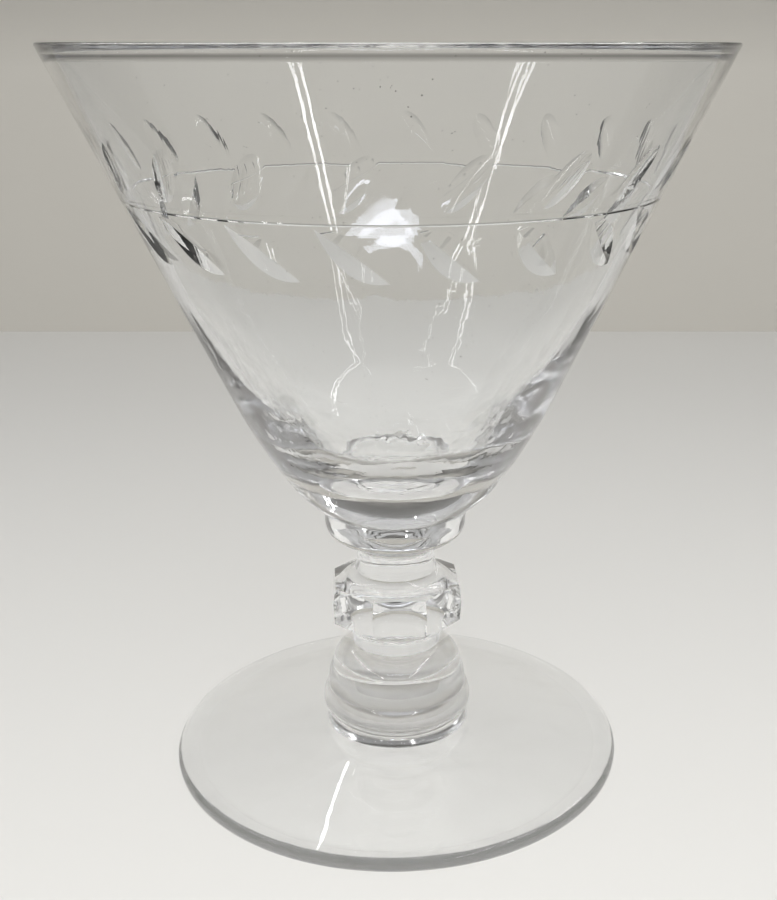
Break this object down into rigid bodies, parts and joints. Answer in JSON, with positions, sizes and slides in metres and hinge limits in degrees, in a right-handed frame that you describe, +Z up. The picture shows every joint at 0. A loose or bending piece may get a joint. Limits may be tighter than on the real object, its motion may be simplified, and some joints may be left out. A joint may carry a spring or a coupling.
{
  "type": "stemmed drinking glass",
  "caption": "Oyster cocktail glass: wide conical bowl with a wheel-cut leaf band, short stem with faceted knop, bell and rings, round foot; holds a small cocktail.",
  "frame": {"origin": "middle of the foot's underside, on the plane that the glass stands on", "axes": "+Z up along the stem's axis, -Y towards the viewer, square to one flat of the knop"},
  "size_m": [0.085, 0.085, 0.098],
  "materials": {
    "crystal": "polished clear colourless crystal"
  },
  "bodies": {
    "root": {"foot": "crystal", "foot_ring": "crystal", "bell": "crystal", "knop": "crystal", "collar": "crystal", "bowl": "crystal"}
  },
  "joints": []
}
